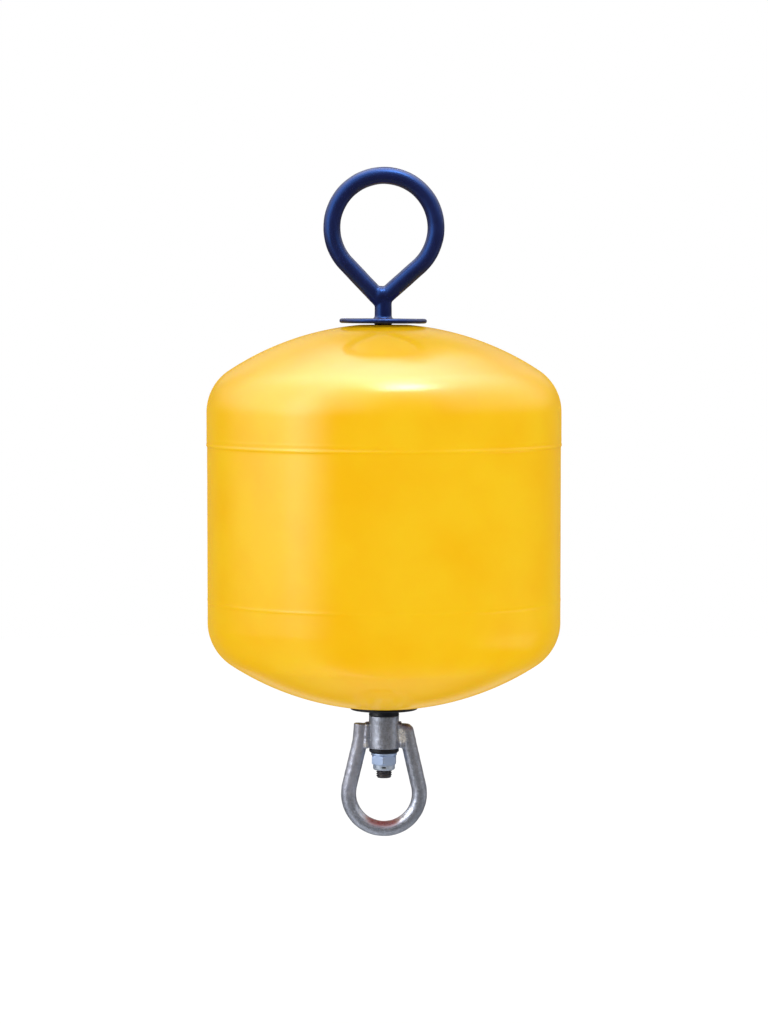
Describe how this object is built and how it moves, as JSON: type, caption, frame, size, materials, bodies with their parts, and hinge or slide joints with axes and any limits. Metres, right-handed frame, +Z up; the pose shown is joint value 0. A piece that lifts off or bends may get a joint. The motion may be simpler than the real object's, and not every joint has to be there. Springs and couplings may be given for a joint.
{
  "type": "mooring buoy",
  "caption": "Round mooring buoy: moulded float with domed ends on a coated steel bar, with a fixed eye on top and a swivel eye hung below on nylon bushes.",
  "frame": {"origin": "on the bar's axis at the unladen waterline", "axes": "+Z up along the bar, +X across the plane of both eyes, the picture looks along +Y"},
  "size_m": [0.4516, 0.4514, 0.8522],
  "materials": {
    "yellow_polyethylene": "glossy rotationally moulded polyethylene",
    "blue_coat": "thick glossy dip coat on steel",
    "black_nylon": "turned black nylon",
    "galvanised_steel": "dull hot-dip galvanised, rust-tinted at the welds",
    "bright_zinc": "bright blue-white zinc plate",
    "lock_nylon": "natural nylon"
  },
  "bodies": {
    "buoy": {"float": "yellow_polyethylene", "eye_bar": "blue_coat", "top_flange": "blue_coat", "flanged_bush": "black_nylon", "thrust_bush": "black_nylon", "end_washer": "bright_zinc", "lock_nut": "bright_zinc", "nut_ring": "lock_nylon"},
    "swivel": {"swivel_tube": "galvanised_steel", "swivel_loop": "galvanised_steel", "swivel_welds": "galvanised_steel"}
  },
  "joints": [
    {"name": "swivel_spin", "type": "hinge", "parent": "buoy", "child": "swivel", "pos_m": [0, 0, -0.126], "axis": [0, 0, 1], "continuous": true}
  ]
}
